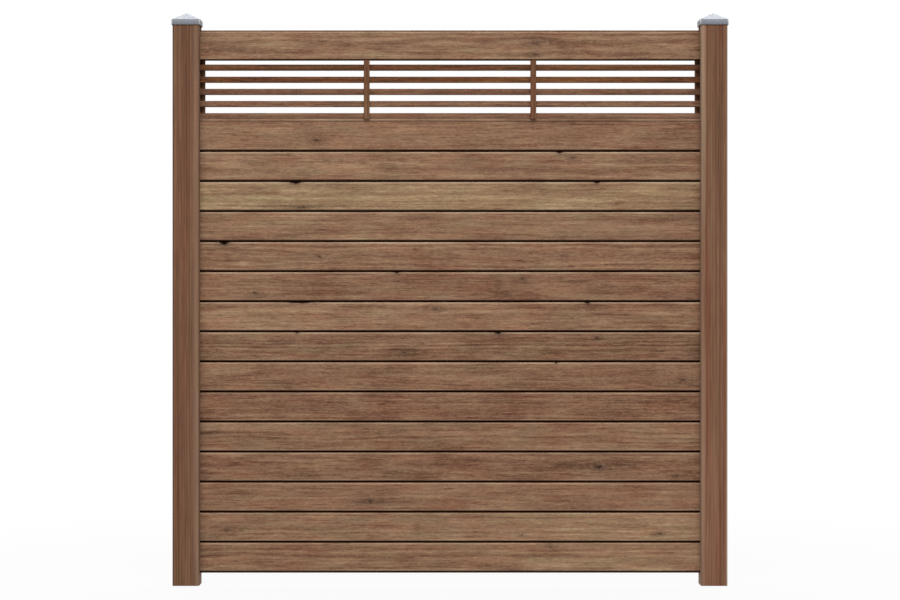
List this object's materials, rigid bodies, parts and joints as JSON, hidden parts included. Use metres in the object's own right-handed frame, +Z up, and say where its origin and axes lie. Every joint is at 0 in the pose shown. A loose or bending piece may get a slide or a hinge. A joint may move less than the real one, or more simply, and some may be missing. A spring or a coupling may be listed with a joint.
{
  "type": "wooden fence panel",
  "caption": "Fence section of brown tongue-and-groove boards between channelled square posts with metal pyramid caps, with a slatted see-through insert below the top board.",
  "frame": {"origin": "on the ground, midway between the two posts and in the middle of their depth", "axes": "+X along the fence to the right as seen from the front, +Y from front to back, +Z up"},
  "size_m": [1.8878, 0.097, 1.9407],
  "materials": {
    "board_wood": "planed softwood, brown impregnated",
    "post_wood": "planed softwood, brown impregnated",
    "slat_wood": "planed softwood, brown impregnated",
    "cap_metal": "pressed zinc-coated sheet, satin",
    "fastener_steel": "zinc plated"
  },
  "bodies": {
    "root": {"board_01": "board_wood", "board_02": "board_wood", "board_03": "board_wood", "board_04": "board_wood", "board_05": "board_wood", "board_06": "board_wood", "board_07": "board_wood", "board_08": "board_wood", "board_09": "board_wood", "board_10": "board_wood", "board_11": "board_wood", "board_12": "board_wood", "board_13": "board_wood", "board_14": "board_wood", "board_15": "board_wood", "cap_screws": "fastener_steel", "left_end_batten": "slat_wood", "left_post": "post_wood", "left_post_cap": "cap_metal", "left_stop_block": "post_wood", "right_end_batten": "slat_wood", "right_post": "post_wood", "right_post_cap": "cap_metal", "right_stop_block": "post_wood", "slat_1": "slat_wood", "slat_2": "slat_wood", "slat_3": "slat_wood", "slat_4": "slat_wood", "slat_5": "slat_wood", "slat_nails": "fastener_steel", "starter_strip": "board_wood", "stop_block_screws": "fastener_steel", "top_board": "board_wood", "top_board_screws": "fastener_steel", "upright_1": "slat_wood", "upright_2": "slat_wood"}
  },
  "joints": []
}
